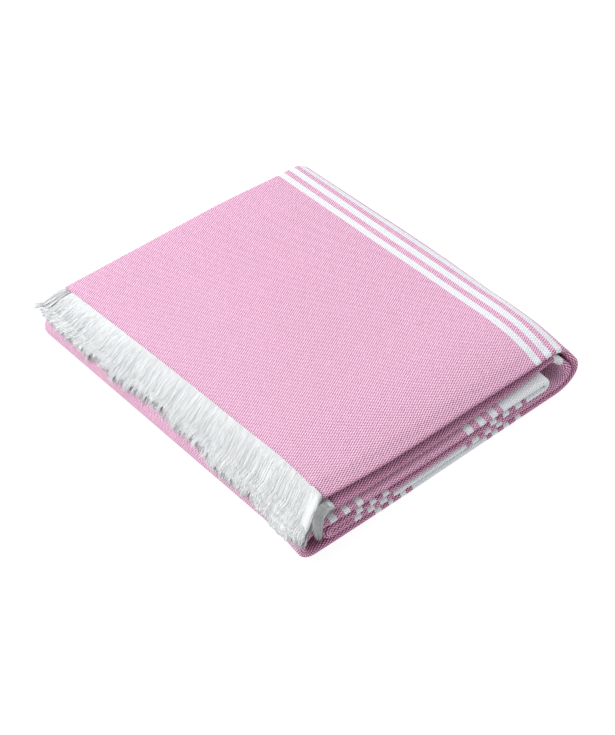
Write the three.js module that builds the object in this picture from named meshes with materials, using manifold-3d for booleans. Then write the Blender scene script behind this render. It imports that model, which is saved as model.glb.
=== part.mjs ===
// Folded beach blanket: a flat-woven cotton cloth with a fringe at both short ends.
// The cloth is one sheet. It is folded in four across its width, so each layer has four plies,
// and then in six along its length, so the stack has twenty-four plies.
// Millimetres, +Z up. +X runs along the cloth's length, towards the wide fold with the stripes.
// -Y is the side where every layer shows one rounded fold. The stack rests on z = 0, and the
// origin is half way across its underside.
import * as THREE from 'three';
import * as BufferGeometryUtils from 'three/addons/utils/BufferGeometryUtils.js';
import Module from 'manifold-3d';

const wasm = await Module();
wasm.setup();

// Driving dimensions
const SHEET_THICKNESS = 1.3;
const PLY_PITCH = 2.1;
const PLIES = 4;
const FOLDED_WIDTH = 350;
const LAYER_PITCH = PLY_PITCH * PLIES;

// Where the folds of the length lie
const RIGHT_FOLD_RIM = 163.5;
const LEFT_FOLD_RIM = -153.2;
const INNER_LEFT_FOLD_RIM = -130;
const MIDDLE_FOLD_RIM = 131;
const UPPER_END = -123;
const LOWER_END = -117;

// How far the soft stack leaves its square form
const CROWN = 3;
const LIP_DROOP = 5.4;
const LIP_DROOP_AT_LEFT = 2;
const LIP_DROOP_WIDTH = 50;
const LIP_WAVE = 0.7;
const LIP_WAVE_LENGTH = 34;
const RIDGE = 3;
const RIDGE_AT = 60;
const RIDGE_WIDTH = 36;
const TOP_BOW = 2.2;
const TOP_BOW_AT = 0.32;
const TOP_BOW_WIDTH = 0.22;
const LEFT_CORNER = 4.4;
const BACK_BULGE = 4.5;
const BACK_BULGE_FROM = 40;
const BACK_BULGE_TO = 140;
const RIM_BOW_FROM = 136;
const RIM_BOW_SPAN = 24;
// Shift along the length of the ends with the fringes and of the fold at the right, by place
// across the width as a share of it
const END_SHIFTS = [
  { share: 0, shift: 0 },
  { share: 0.1, shift: 1.6 },
  { share: 0.2, shift: 2.2 },
  { share: 0.35, shift: 1.5 },
  { share: 0.5, shift: 0.8 },
  { share: 0.75, shift: -1.6 },
  { share: 1, shift: -4 },
];
const RIM_SHIFTS = [
  { share: 0, shift: 3.8 },
  { share: 0.06, shift: 2.6 },
  { share: 0.16, shift: 0.8 },
  { share: 0.3, shift: 0.8 },
  { share: 0.45, shift: 2.8 },
  { share: 0.6, shift: 3.2 },
  { share: 0.8, shift: 1.6 },
  { share: 1, shift: 0 },
];

// Each layer's front folds: their set-back at the left, middle and right of the stack, how far
// they are pressed flat, and the height in the layer that they close on
const FRONT = [
  { layer: 1, left: -0.3, middle: -2, right: -2.7, keep: 1, at: 0 },
  { layer: 2, left: -0.8, middle: -2.2, right: -2.9, keep: 0.85, at: 0 },
  { layer: 3, left: -0.5, middle: -2.4, right: -3.2, keep: 0.85, at: 0 },
  { layer: 4, left: 0, middle: -2.4, right: -2.6, keep: 0.6, at: -1 },
  { layer: 5, left: 3.4, middle: 3.5, right: 8.4, keep: 0.4, at: -2.1 },
  { layer: 6, left: 14.4, middle: 8, right: 8.2, keep: 0.36, at: -2.4 },
];
const KEEP_AT_TURNS = 0.9;
const PRESSED_FROM = 2;
const PRESSED_TO = 17;
const INNER_FOLD_AT = 11.5;

// Fringe
const ROOT_GAP = 0.3;
const ROOT_STRIP = 4;
const ROOT_DEPTH = 1.6;
const LOCK_THICKNESS = 0.42;
const LOCK_STEPS = 3;
const FIRST_SHELL = 1.6;
const SHELL_PITCH = 0.8;
const SHELL_RISE = 0.85;
const DRAPE_START = 70;
const FRINGE_MARGIN = 5;
const FRINGE_LEAN = -9;
const FRINGE_FAN_FAR = 24;
// One row for each ply: its locks, their width, and the angle over the left fold, in degrees
// above level, where the longest and the shortest locks end
const FRINGE_UPPER = [
  { ply: 0, locks: 14, width: 6, longest: 18, shortest: 36 },
  { ply: 1, locks: 14, width: 6, longest: 18, shortest: 36 },
  { ply: 2, locks: 14, width: 6, longest: 18, shortest: 36 },
  { ply: 3, locks: 52, width: 4.8, longest: 14, shortest: 38 },
];
const FRINGE_LOWER = [
  { ply: 0, locks: 12, width: 6, longest: 20, shortest: 38 },
  { ply: 1, locks: 12, width: 6, longest: 20, shortest: 38 },
  { ply: 2, locks: 12, width: 6, longest: 20, shortest: 38 },
  { ply: 3, locks: 12, width: 6, longest: 20, shortest: 38 },
];

const PINK = new THREE.Color(0.84, 0.5, 0.7);
const WHITE = new THREE.Color(0.93, 0.94, 0.95);

const HALF_SHEET = SHEET_THICKNESS / 2;
const OUTER_FOLD_RADIUS = 1.5 * PLY_PITCH;
const INNER_FOLD_RADIUS = 0.5 * PLY_PITCH;
const HALF_PACK = OUTER_FOLD_RADIUS + HALF_SHEET;
const STACK_HEIGHT = LAYER_PITCH * 5 + HALF_PACK * 2;
const HALF_LENGTH = 150;

function layerHeight(layer) {
  return HALF_PACK + LAYER_PITCH * (layer - 1);
}

function smooth(t) {
  const c = Math.min(1, Math.max(0, t));
  return c * c * (3 - 2 * c);
}

// The set-back of a layer at a place along the stack, read from the table
function setBack(x, z) {
  const along = Math.min(1, Math.max(-1, x / HALF_LENGTH));
  const level = Math.min(5, Math.max(0, (z - HALF_PACK) / LAYER_PITCH));
  const low = FRONT[Math.min(4, Math.floor(level))];
  const high = FRONT[low.layer];
  const part = level - (low.layer - 1);
  const mix = (name) => low[name] + (high[name] - low[name]) * part;
  const end = along < 0 ? mix('left') : mix('right');
  return mix('middle') + (end - mix('middle')) * along * along;
}

// A shift between two rows of a table
function shiftAt(table, share) {
  let row = 0;
  while (row < table.length - 2 && share > table[row + 1].share) {
    row += 1;
  }
  const part = Math.min(1, Math.max(0, (share - table[row].share) / (table[row + 1].share - table[row].share)));
  return table[row].shift + (table[row + 1].shift - table[row].shift) * part;
}

// The soft form of the stack: a crowned top, a drooping front lip, and ends that are not straight
function soften(x, yBefore, z, layerZ) {
  const y = yBefore + setBack(x, layerZ) * (1 - yBefore / FOLDED_WIDTH);
  const share = y / FOLDED_WIDTH;
  const arch = 1 - (2 * share - 1) ** 2;
  const along = x / HALF_LENGTH;
  const upper = z / STACK_HEIGHT;
  const crown = CROWN * arch * (1 - 0.5 * Math.min(1, along * along));
  const drop = LIP_DROOP + (LIP_DROOP_AT_LEFT - LIP_DROOP) * smooth(-along);
  const lip = drop * (1 - smooth(y / LIP_DROOP_WIDTH));
  const ridgeSize = RIDGE * (0.65 + 0.35 * Math.min(1, Math.max(-1, along)));
  const ridge = ridgeSize * Math.exp(-(((y - RIDGE_AT) / RIDGE_WIDTH) ** 2));
  const wave = LIP_WAVE * Math.sin(x / LIP_WAVE_LENGTH + 0.8) * (1 - smooth(y / (2 * LIP_DROOP_WIDTH)));
  const scale = 1 + (crown - lip + ridge + wave) / STACK_HEIGHT;
  const top = smooth((upper - 0.6) / 0.3);
  const end = shiftAt(END_SHIFTS, share) * top * smooth(-along);
  const corner = LEFT_CORNER * (1 - smooth(share / 0.1)) * (1 - top) * smooth((-along - 0.75) / 0.25);
  const rim = shiftAt(RIM_SHIFTS, share) * smooth((x - RIM_BOW_FROM) / RIM_BOW_SPAN);
  const bow = TOP_BOW * Math.exp(-(((share - TOP_BOW_AT) / TOP_BOW_WIDTH) ** 2)) * smooth(along) * top;
  const bulge = BACK_BULGE * share * (1 - smooth((x - BACK_BULGE_FROM) / (BACK_BULGE_TO - BACK_BULGE_FROM)));
  return [
    x + end - corner + rim + bow,
    y + bulge - FOLDED_WIDTH / 2,
    Math.abs(z) < 1e-6 ? 0 : z * scale,
  ];
}

// The route of the layers' middle along the length, as straights and half-circle turns
function lengthRoute() {
  const turns = [
    { from: 6, to: 1, rim: RIGHT_FOLD_RIM, side: 1, steps: 8 },
    { from: 1, to: 4, rim: LEFT_FOLD_RIM, side: -1, steps: 7 },
    { from: 4, to: 3, rim: MIDDLE_FOLD_RIM, side: 1, steps: 5 },
    { from: 3, to: 2, rim: INNER_LEFT_FOLD_RIM, side: -1, steps: 5 },
    { from: 2, to: 5, rim: RIGHT_FOLD_RIM - LAYER_PITCH, side: 1, steps: 7 },
  ];
  const stations = [];
  let x = UPPER_END;
  let normal = 1;
  turns.forEach((turn) => {
    const startZ = layerHeight(turn.from);
    const endZ = layerHeight(turn.to);
    const radius = Math.abs(endZ - startZ) / 2;
    const centreX = turn.rim - turn.side * (radius + HALF_PACK);
    const centreZ = (startZ + endZ) / 2;
    addStraight(stations, x, centreX, turn.from, normal);
    const down = Math.sign(startZ - endZ);
    // The side that the normal points to is outside on some turns and inside on the others
    const outside = normal * down;
    for (let i = 0; i < turn.steps; i += 1) {
      const angle = (Math.PI * i) / turn.steps;
      const outX = turn.side * Math.sin(angle);
      const outZ = down * Math.cos(angle);
      stations.push({
        x: centreX + radius * outX,
        z: centreZ + radius * outZ,
        nx: outside * outX,
        nz: outside * outZ,
        keep: KEEP_AT_TURNS,
        at: 0,
      });
    }
    x = centreX;
    normal = -normal;
  });
  addStraight(stations, x, LOWER_END, 5, normal);
  stations.push(flatStation(LOWER_END, 5, normal));
  return stations;
}

// A station on a straight layer, with that layer's pressed front
function flatStation(x, layer, normal) {
  const front = FRONT[layer - 1];
  return { x, z: layerHeight(layer), nx: 0, nz: normal, keep: front.keep, at: normal * front.at };
}

const STRAIGHT_STEPS = 5;

function addStraight(stations, fromX, toX, layer, normal) {
  for (let i = 0; i < STRAIGHT_STEPS; i += 1) {
    stations.push(flatStation(fromX + ((toX - fromX) * i) / STRAIGHT_STEPS, layer, normal));
  }
}

// Places across the width where the straight plies get a row of points
const ACROSS = [7, 12, 18, 32, 56, 100, 220];

// The section across the width: four plies joined by three turns, from selvedge to selvedge
function widthSection() {
  const front = OUTER_FOLD_RADIUS;
  const back = FOLDED_WIDTH - 3;
  const points = [];
  const straight = (h, up, forward) => {
    const places = (forward ? ACROSS : [...ACROSS].reverse()).filter(
      (y) => Math.abs(h) > PLY_PITCH || y > INNER_FOLD_AT + INNER_FOLD_RADIUS,
    );
    places.forEach((y) => points.push({ y, h, my: 0, mh: up }));
  };
  const turn = (centreY, centreH, radius, side, startUp, steps, outward) => {
    for (let i = 0; i <= steps; i += 1) {
      const angle = (Math.PI * i) / steps;
      const outY = side * Math.sin(angle);
      const outH = startUp * Math.cos(angle);
      points.push({
        y: centreY + radius * outY,
        h: centreH + radius * outH,
        my: outward * outY,
        mh: outward * outH,
      });
    }
  };
  points.push({ y: back + 1.4, h: -1.5 * PLY_PITCH, my: 0, mh: -1 });
  straight(-1.5 * PLY_PITCH, -1, false);
  turn(front, 0, OUTER_FOLD_RADIUS, -1, -1, 5, 1);
  straight(1.5 * PLY_PITCH, 1, true);
  turn(back - 1, PLY_PITCH, INNER_FOLD_RADIUS, 1, 1, 3, 1);
  straight(0.5 * PLY_PITCH, -1, false);
  turn(INNER_FOLD_AT, 0, INNER_FOLD_RADIUS, -1, 1, 3, -1);
  straight(-0.5 * PLY_PITCH, 1, true);
  points.push({ y: back + 0.5, h: -0.5 * PLY_PITCH, my: 0, mh: 1 });
  return points;
}

// The height of a ply at a station where the front folds are pressed
function pressedHeight(station, y, h) {
  const press = station.keep + (1 - station.keep) * smooth((y - PRESSED_FROM) / (PRESSED_TO - PRESSED_FROM));
  const centre = station.keep < 1 ? (station.at * (1 - press)) / (1 - station.keep) : 0;
  return centre + (h - centre) * press;
}

// The section at a station, with its front folds pressed and its normals square to it
function pressedSection(station, section) {
  const line = section.map((p) => ({ y: p.y, h: pressedHeight(station, p.y, p.h) }));
  return line.map((p, i) => {
    const before = line[Math.max(0, i - 1)];
    const after = line[Math.min(line.length - 1, i + 1)];
    const my = before.h - after.h;
    const mh = after.y - before.y;
    const size = Math.hypot(my, mh) * Math.sign(my * section[i].my + mh * section[i].mh);
    return { ...p, my: my / size, mh: mh / size };
  });
}

// One closed sheet swept along the stations, its two faces half a thickness off the section
function sweepSheet(stations, section) {
  const positions = [];
  const index = [];
  const columns = section.length;
  const lines = stations.map((station) => pressedSection(station, section));
  const faces = [1, -1];
  faces.forEach((face) => {
    stations.forEach((station, i) => {
      lines[i].forEach((p) => {
        const y = p.y + face * HALF_SHEET * p.my;
        const h = p.h + face * HALF_SHEET * p.mh;
        positions.push(...soften(station.x + station.nx * h, y, station.z + station.nz * h, station.z));
      });
    });
  });
  const layerSize = stations.length * columns;
  const quad = (a, b, c, d) => index.push(a, b, c, a, c, d);
  for (let i = 0; i < stations.length - 1; i += 1) {
    for (let j = 0; j < columns - 1; j += 1) {
      const a = i * columns + j;
      const b = a + 1;
      const c = a + columns + 1;
      const d = a + columns;
      quad(a, d, c, b);
      quad(layerSize + a, layerSize + b, layerSize + c, layerSize + d);
    }
  }
  for (let i = 0; i < stations.length - 1; i += 1) {
    const first = i * columns;
    const next = first + columns;
    quad(first, layerSize + first, layerSize + next, next);
    const last = first + columns - 1;
    const lastNext = last + columns;
    quad(last, lastNext, layerSize + lastNext, layerSize + last);
  }
  const end = (stations.length - 1) * columns;
  for (let j = 0; j < columns - 1; j += 1) {
    quad(j, j + 1, layerSize + j + 1, layerSize + j);
    quad(end + j, layerSize + end + j, layerSize + end + j + 1, end + j + 1);
  }
  return orientOut(positions, index);
}

// Turns the faces outward if the signed volume is negative
function orientOut(positions, index) {
  let volume = 0;
  for (let i = 0; i < index.length; i += 3) {
    const [a, b, c] = [0, 1, 2].map((k) => new THREE.Vector3().fromArray(positions, index[i + k] * 3));
    volume += a.dot(b.cross(c)) / 6;
  }
  if (volume < 0) {
    for (let i = 0; i < index.length; i += 3) {
      [index[i], index[i + 1]] = [index[i + 1], index[i]];
    }
  }
  const geometry = new THREE.BufferGeometry();
  geometry.setAttribute('position', new THREE.Float32BufferAttribute(positions, 3));
  geometry.setIndex(index);
  return geometry;
}

function toSolid(geometry) {
  const merged = BufferGeometryUtils.mergeVertices(geometry, 1e-5);
  const mesh = new wasm.Mesh({
    numProp: 3,
    vertProperties: new Float32Array(merged.attributes.position.array),
    triVerts: new Uint32Array(merged.index.array),
  });
  return new wasm.Manifold(mesh);
}

function toGeometry(solid) {
  const mesh = solid.getMesh();
  const geometry = new THREE.BufferGeometry();
  geometry.setAttribute('position', new THREE.Float32BufferAttribute(Array.from(mesh.vertProperties), 3));
  geometry.setIndex(Array.from(mesh.triVerts));
  return geometry;
}

// A repeatable spread of values between 0 and 1
function scatter(n) {
  const value = Math.sin(n * 12.9898 + 4.1414) * 43758.5453;
  return value - Math.floor(value);
}

const LEFT_RADIUS = (layerHeight(4) - layerHeight(1)) / 2;
const LEFT_CENTRE_X = LEFT_FOLD_RIM + LEFT_RADIUS + HALF_PACK;
const LEFT_CENTRE_Z = (layerHeight(4) + layerHeight(1)) / 2;

// The drape of one lock: off its root, over the left fold, and a short way down its face
function lockRoute(rootX, rootZ, shell, tipAngle) {
  const reach = LEFT_RADIUS + HALF_PACK + FIRST_SHELL + SHELL_PITCH * shell;
  const rise = LEFT_RADIUS + HALF_PACK + FIRST_SHELL;
  const centreZ = LEFT_CENTRE_Z + SHELL_RISE * shell;
  const route = [
    { x: rootX + ROOT_DEPTH, z: rootZ },
    { x: rootX - 2, z: rootZ },
  ];
  for (let i = 0; i <= LOCK_STEPS; i += 1) {
    const angle = THREE.MathUtils.degToRad(DRAPE_START + ((tipAngle - DRAPE_START) * i) / LOCK_STEPS);
    route.push({
      x: LEFT_CENTRE_X - reach * Math.cos(angle),
      z: centreZ + rise * Math.sin(angle),
    });
  }
  return route;
}

// A flat lock with three sides along its route, narrow at its tip
function lockGeometry(route, y, width, lean, plyOffset) {
  const positions = [];
  const index = [];
  const last = route.length - 1;
  route.forEach((p, i) => {
    const before = route[Math.max(0, i - 1)];
    const after = route[Math.min(last, i + 1)];
    const length = Math.hypot(after.x - before.x, after.z - before.z);
    const outX = (after.z - before.z) / length;
    const outZ = (before.x - after.x) / length;
    const tip = i === last ? 0.35 : 1;
    const half = (width / 2) * tip;
    const thick = (LOCK_THICKNESS / 2) * (i === last ? 0.7 : 1);
    const shift = lean * (i / last) ** 2;
    const corners = [
      { side: -half, out: -thick },
      { side: half, out: -thick },
      { side: 0, out: thick },
    ];
    corners.forEach((corner) => {
      const z = p.z + outZ * corner.out;
      positions.push(...soften(p.x + outX * corner.out, y + shift + corner.side, z, z - plyOffset));
    });
  });
  for (let i = 0; i < last; i += 1) {
    for (let k = 0; k < 3; k += 1) {
      const a = i * 3 + k;
      const b = i * 3 + ((k + 1) % 3);
      index.push(a, b, b + 3, a, b + 3, a + 3);
    }
  }
  index.push(0, 2, 1);
  index.push(last * 3, last * 3 + 1, last * 3 + 2);
  return orientOut(positions, index);
}

// A fringe: its root strip with the cloth's own section, and the locks that hang from it
function buildFringe(rows, endX, layer, up, firstShell, seed) {
  const z = layerHeight(layer);
  const strip = [endX - ROOT_GAP, endX - ROOT_GAP - ROOT_STRIP].map((x) => flatStation(x, layer, up));
  const pieces = [toSolid(sweepSheet(strip, widthSection()))];
  const rootX = endX - ROOT_GAP - ROOT_STRIP;
  rows.forEach((row) => {
    const shell = firstShell + (up > 0 ? row.ply : PLIES - 1 - row.ply);
    const inner = row.ply > 0 && row.ply < PLIES - 1;
    const firstY = inner ? INNER_FOLD_AT + FRINGE_MARGIN : FRINGE_MARGIN;
    const spread = FOLDED_WIDTH - 6 - FRINGE_MARGIN - firstY;
    for (let i = 0; i < row.locks; i += 1) {
      const n = seed + row.ply * 100 + i;
      const y = firstY + (spread * (i + 0.5)) / row.locks;
      const plyOffset = up * pressedHeight(strip[0], y, PLY_PITCH * (row.ply - 1.5));
      const tipAngle = row.longest + (row.shortest - row.longest) * scatter(n);
      const route = lockRoute(rootX, z + plyOffset, shell, tipAngle);
      const share = y / FOLDED_WIDTH;
      const fan = FRINGE_LEAN * smooth(share / 0.1) + FRINGE_FAN_FAR * smooth((share - 0.6) / 0.4);
      const lean = fan + (scatter(n + 0.5) - 0.5) * (spread / row.locks - row.width) * 0.8;
      const width = row.width * (0.86 + 0.14 * scatter(n + 0.3));
      pieces.push(toSolid(lockGeometry(route, y, width, lean, plyOffset)));
    }
  });
  return toGeometry(pieces.reduce((all, piece) => all.add(piece)));
}

function named(name, geometry, colour, roughness) {
  const material = new THREE.MeshStandardMaterial({ color: colour, roughness, metalness: 0 });
  const mesh = new THREE.Mesh(geometry, material);
  mesh.name = name;
  return mesh;
}

const blanket = new THREE.Group();
blanket.add(named('cloth', sweepSheet(lengthRoute(), widthSection()), PINK, 0.9));
blanket.add(named('fringe_upper', buildFringe(FRINGE_UPPER, UPPER_END, 6, 1, 4, 1), WHITE, 0.85));
blanket.add(named('fringe_lower', buildFringe(FRINGE_LOWER, LOWER_END, 5, -1, 0, 501), WHITE, 0.85));

export default blanket;
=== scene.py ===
"""Folded beach blanket: the woven cloth, its two fringes and the studio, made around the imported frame.

Metres, +Z up. +X runs along the cloth's length towards the striped fold. -Y is the side where each
layer shows one rounded fold. The cloth is one closed sheet, folded in four across and in six along.
"""
import math

import bpy
import numpy as np
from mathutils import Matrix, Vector


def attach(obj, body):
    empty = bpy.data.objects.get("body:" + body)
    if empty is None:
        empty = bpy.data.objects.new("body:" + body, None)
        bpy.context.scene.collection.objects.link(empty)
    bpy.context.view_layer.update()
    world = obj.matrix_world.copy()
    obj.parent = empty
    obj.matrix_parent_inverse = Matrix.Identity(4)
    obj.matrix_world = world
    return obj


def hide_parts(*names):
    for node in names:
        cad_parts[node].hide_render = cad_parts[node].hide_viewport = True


bl_info = {
    "name": "Folded Beach Blanket",
    "version": (1, 0, 0),
    "blender": (4, 5, 0),
    "location": "View3D > Sidebar > Blanket",
    "description": "Builds a folded, fringed beach blanket and its studio around the packed frame",
    "category": "Add Mesh",
}

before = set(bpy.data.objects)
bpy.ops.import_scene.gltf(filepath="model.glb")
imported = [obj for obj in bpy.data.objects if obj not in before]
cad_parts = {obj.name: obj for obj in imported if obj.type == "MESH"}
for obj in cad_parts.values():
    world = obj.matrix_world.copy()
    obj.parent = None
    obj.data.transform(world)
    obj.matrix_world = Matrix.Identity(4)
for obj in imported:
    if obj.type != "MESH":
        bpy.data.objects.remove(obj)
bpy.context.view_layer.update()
MM = 0.001

# The front folds of layers 1 to 6: set-back at the left end, middle and right end, in millimetres
SET_BACK = np.array([
    (-0.3, -2.0, -2.7),
    (-0.8, -2.2, -2.9),
    (-0.5, -2.4, -3.2),
    (0.0, -2.4, -2.6),
    (3.4, 3.5, 8.4),
    (14.4, 8.0, 8.2),
]) * MM

# Half-circle turns of the length: first layer, last layer, side
TURNS = (
    {"from": 6, "to": 1, "side": 1, "rim": "right_rim", "steps": 30},
    {"from": 1, "to": 4, "side": -1, "rim": "left_rim", "steps": 24},
    {"from": 4, "to": 3, "side": 1, "rim": "middle_rim", "steps": 12},
    {"from": 3, "to": 2, "side": -1, "rim": "inner_left_rim", "steps": 10},
    {"from": 2, "to": 5, "side": 1, "rim": "inner_right_rim", "steps": 22},
)

# How flat the rounded folds of each layer are pressed at the front, and the height in the pack
# that their plies close on, in millimetres above its middle
PINCH = {
    6: {"keep": 0.36, "at": -2.4},
    5: {"keep": 0.4, "at": -2.1},
    4: {"keep": 0.6, "at": -1.0},
    3: {"keep": 0.85, "at": 0.0},
    2: {"keep": 0.85, "at": 0.0},
    1: {"keep": 0.999, "at": 0.0},
}
PINCH_AT_TURNS = 0.9
PINCH_FADE = 0.028
PINCH_FROM = 0.002
PINCH_TO = 0.017
INNER_FOLD_AT = 0.0115

# White weft on each straight of the length, as x where it starts and ends, in millimetres
WHITE_STRAIGHT = {
    6: ((121.1, 127.9),),
    1: ((89.1, 95.4), (74.6, 80.8), (60.2, 67.3), (-33.6, 54.0), (-47.1, -40.9), (-60.5, -55.7),
        (-75.7, -69.1)),
    4: ((-123.8, -117.4), (-109.6, -103.7), (-95.4, -89.3), (28.7, 36.2), (43.7, 50.8), (58.4, 65.4),
        (71.9, 123.0)),
    3: ((100.5, 123.0), (87.4, 95.1), (72.3, 79.5), (57.0, 64.1), (-67.8, -61.2), (-81.9, -75.4),
        (-96.8, -90.3)),
    2: ((-98.6, -91.2), (-84.2, -77.1), (-70.5, -62.9), (-55.3, 28.8), (35.8, 43.9), (51.0, 58.2),
        (64.8, 71.5)),
}
# White weft round the turns, in millimetres of cloth from where the turn starts
WHITE_TURN = {
    6: ((-4.75, 1.65), (6.6, 12.8)),
    4: ((0.0, 13.2),),
    2: ((29.0, 35.5),),
}

# Soft troughs (negative) and ridges over the top, in millimetres and degrees:
# x and y of the middle, heading, length, width, height
CREASES = (
    (-70, 40, 78, 190, 26, -0.9),
    (-20, -20, 62, 160, 30, 0.7),
    (40, 70, 84, 180, 34, -0.6),
    (10, -128, 4, 220, 16, -0.7),
    (95, -60, 70, 120, 24, 0.5),
    (-95, -90, 40, 90, 20, 0.5),
)


class BlanketCloth(bpy.types.PropertyGroup):
    """Sizes and colours of the woven cloth"""

    sheet_thickness: bpy.props.FloatProperty(
        name="Sheet thickness", description="Thickness of the woven sheet", default=0.0012, unit="LENGTH")
    ply_pitch: bpy.props.FloatProperty(
        name="Ply pitch", description="Height from one ply to the next", default=0.0021, unit="LENGTH")
    folded_width: bpy.props.FloatProperty(
        name="Folded width", description="Width of the stack across the plies", default=0.35, unit="LENGTH")
    upper_end: bpy.props.FloatProperty(
        name="Upper end", description="Where the top layer ends at its fringe", default=-0.123, unit="LENGTH")
    lower_end: bpy.props.FloatProperty(
        name="Lower end", description="Where the layer below the top ends", default=-0.117, unit="LENGTH")
    right_rim: bpy.props.FloatProperty(
        name="Right rim", description="Reach of the fold round the whole stack", default=0.1635,
        unit="LENGTH")
    left_rim: bpy.props.FloatProperty(
        name="Left rim", description="Reach of the fold under the fringes", default=-0.1532, unit="LENGTH")
    middle_rim: bpy.props.FloatProperty(
        name="Middle rim", description="Reach of the blunt white fold", default=0.131, unit="LENGTH")
    inner_left_rim: bpy.props.FloatProperty(
        name="Inner left rim", description="Reach of the fold inside the left one", default=-0.13,
        unit="LENGTH")
    crown: bpy.props.FloatProperty(
        name="Crown", description="Rise of the top over its edges", default=0.003, unit="LENGTH")
    lip_droop: bpy.props.FloatProperty(
        name="Lip droop", description="Fall of the top towards the front folds", default=0.0054,
        unit="LENGTH")
    pink: bpy.props.FloatVectorProperty(
        name="Pink", description="Pink of the floats that catch the light", subtype="COLOR", size=3,
        default=(0.97, 0.615, 0.81), min=0, max=1)
    deep_pink: bpy.props.FloatVectorProperty(
        name="Deep pink", description="Pink between the twill lines", subtype="COLOR", size=3,
        default=(0.24, 0.035, 0.13), min=0, max=1)
    white: bpy.props.FloatVectorProperty(
        name="White", description="White of the stripes", subtype="COLOR", size=3,
        default=(0.84, 0.865, 0.895), min=0, max=1)
    grey: bpy.props.FloatVectorProperty(
        name="Grey", description="Shade between the white threads", subtype="COLOR", size=3,
        default=(0.56, 0.595, 0.63), min=0, max=1)
    # Painted shade: how far the pink is darkened towards its deep shade over the front folds
    painted_fold_shade: bpy.props.FloatProperty(
        name="Painted fold shade", description="How much more of the deep shade shows over the front folds",
        default=0.45)
    twill_spacing: bpy.props.FloatProperty(
        name="Twill spacing", description="Distance between two twill lines, measured across the width",
        default=0.0021, unit="LENGTH")


class BlanketFringe(bpy.types.PropertyGroup):
    """Sizes and colour of the two fringes"""

    upper_threads: bpy.props.IntProperty(
        name="Upper threads", description="Threads of the upper fringe", default=4300, min=100)
    lower_threads: bpy.props.IntProperty(
        name="Lower threads", description="Threads of the lower fringe", default=2400, min=100)
    tuft_threads: bpy.props.IntProperty(
        name="Tuft threads", description="Threads that curl out at the near corner", default=130, min=10)
    thread_radius: bpy.props.FloatProperty(
        name="Thread radius", description="Half the thickness of a thread", default=0.00019, unit="LENGTH")
    wave: bpy.props.FloatProperty(
        name="Wave", description="How far a thread waves to its sides", default=0.0006, unit="LENGTH")
    seed: bpy.props.IntProperty(name="Seed", description="Start of the scatter", default=11)
    yarn: bpy.props.FloatVectorProperty(
        name="Yarn", description="White of the yarn", subtype="COLOR", size=3,
        default=(0.82, 0.835, 0.845), min=0, max=1)
    yarn_shade: bpy.props.FloatVectorProperty(
        name="Yarn shade", description="Shade of the duller threads", subtype="COLOR", size=3,
        default=(0.70, 0.72, 0.735), min=0, max=1)


class BlanketStudio(bpy.types.PropertyGroup):
    """Camera, floor and lights"""

    azimuth: bpy.props.FloatProperty(
        name="Azimuth", description="Turn of the camera about the vertical", default=math.radians(-41.5),
        subtype="ANGLE")
    elevation: bpy.props.FloatProperty(
        name="Elevation", description="Height angle of the camera", default=math.radians(43.64),
        subtype="ANGLE")
    distance: bpy.props.FloatProperty(
        name="Distance", description="Camera to its target", default=1.7072, unit="LENGTH")
    target: bpy.props.FloatVectorProperty(
        name="Target", description="Point in the middle of the picture", subtype="XYZ", size=3,
        default=(-0.0134, -0.0221, 0.02))
    lens: bpy.props.FloatProperty(
        name="Lens", description="Focal length for a 36 mm picture height, in mm", default=95.38)
    floor_colour: bpy.props.FloatVectorProperty(
        name="Floor", description="Colour of the floor", subtype="COLOR", size=3,
        default=(0.25, 0.25, 0.25), min=0, max=1)
    floor_glow: bpy.props.FloatProperty(
        name="Floor glow", description="Light that the table under the blanket gives off", default=0.85)
    sky: bpy.props.FloatProperty(
        name="Sky", description="Strength of the even light from all sides", default=0.36)
    key: bpy.props.FloatProperty(
        name="Key", description="Power of the soft light over the left side, in watts", default=73.0)
    fill: bpy.props.FloatProperty(
        name="Fill", description="Power of the soft light over the right side, in watts", default=11.0)


# The folded form


def layer_height(cloth, layer):
    """Height of the middle of a layer's four plies over the floor."""
    half_pack = 1.5 * cloth.ply_pitch + cloth.sheet_thickness / 2
    return half_pack + 4 * cloth.ply_pitch * (layer - 1)


def smooth(t):
    """An even rise from 0 to 1."""
    c = np.clip(t, 0, 1)
    return c * c * (3 - 2 * c)


def set_back(cloth, x, z):
    """Set-back of a layer at a place along the stack, from the table."""
    along = np.clip(x / HALF_LENGTH, -1, 1)
    level = (z - layer_height(cloth, 1)) / (4 * cloth.ply_pitch)
    left, middle, right = (np.interp(level, np.arange(6), SET_BACK[:, k]) for k in range(3))
    end = np.where(along < 0, left, right)
    return middle + (end - middle) * along ** 2


HALF_LENGTH = 0.15
LIP_WIDTH = 0.05
LIP_DROOP_AT_LEFT = 0.002
LIP_WAVE = 0.0007
LIP_WAVE_LENGTH = 0.034
RIM_BOW_FROM = 0.136
RIM_BOW_SPAN = 0.024
TOP_BOW = 0.0022
LEFT_CORNER = 0.0044
BACK_BULGE = 0.0045
RIDGE = 0.003
RIDGE_AT = 0.06
RIDGE_WIDTH = 0.036
# Shift of the ends with the fringes along the length, by place across the width
END_PLACES = (0.0, 0.1, 0.2, 0.35, 0.5, 0.75, 1.0)
END_SHIFTS = (0.0, 1.6, 2.2, 1.5, 0.8, -1.6, -4.0)
# Bow of the fold at the right, by place across the width
RIM_PLACES = (0.0, 0.06, 0.16, 0.3, 0.45, 0.6, 0.8, 1.0)
RIM_SHIFTS = (3.8, 2.6, 0.8, 0.8, 2.8, 3.2, 1.6, 0.0)


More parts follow.
